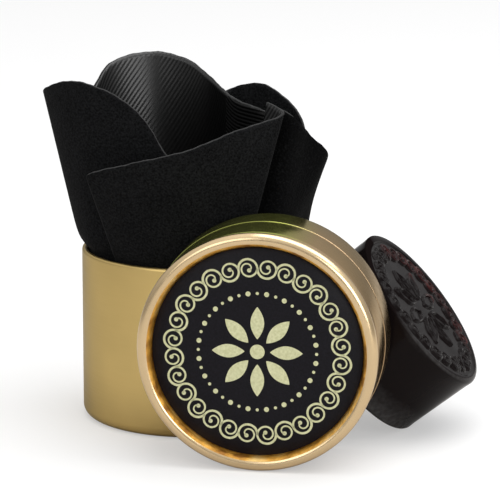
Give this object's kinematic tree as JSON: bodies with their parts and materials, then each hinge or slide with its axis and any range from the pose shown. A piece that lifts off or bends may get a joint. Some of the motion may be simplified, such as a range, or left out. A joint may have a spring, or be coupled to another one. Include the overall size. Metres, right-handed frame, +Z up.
{
  "type": "rosin cake with canister",
  "caption": "Round cast rosin cake with a raised border, leaning on the drawn metal canister that holds its wrapping cloth, with the slip-over lid standing in front.",
  "frame": {"origin": "centre of the canister's flat base, on the table", "axes": "+Z up, +X towards the cake, -Y towards the front, where the lid stands"},
  "size_m": [0.0955, 0.0824, 0.08],
  "materials": {
    "canister_metal": "satin gold anodised",
    "lid_metal": "polished gold anodised",
    "label_print": "coated black stock with pale print",
    "cloth": "napped outside, ribbed inside",
    "rosin": "glossy cast resin"
  },
  "bodies": {
    "canister": {"canister_cup": "canister_metal"},
    "lid": {"lid_shell": "lid_metal", "lid_label": "label_print"},
    "cloth": {"polishing_cloth": "cloth"},
    "cake": {"rosin_cake": "rosin"}
  },
  "joints": [
    {"name": "lid_lift", "type": "slide", "parent": "canister", "child": "lid", "axis": [-0.1191, -0.697, 0.7071], "range_m": [0, 0.05]},
    {"name": "cloth_pull", "type": "slide", "parent": "canister", "child": "cloth", "axis": [0, 0, 1], "range_m": [0, 0.045]},
    {"name": "cake_lift", "type": "slide", "parent": "canister", "child": "cake", "axis": [0.7594, -0.1753, 0.6266], "range_m": [0, 0.04]}
  ]
}
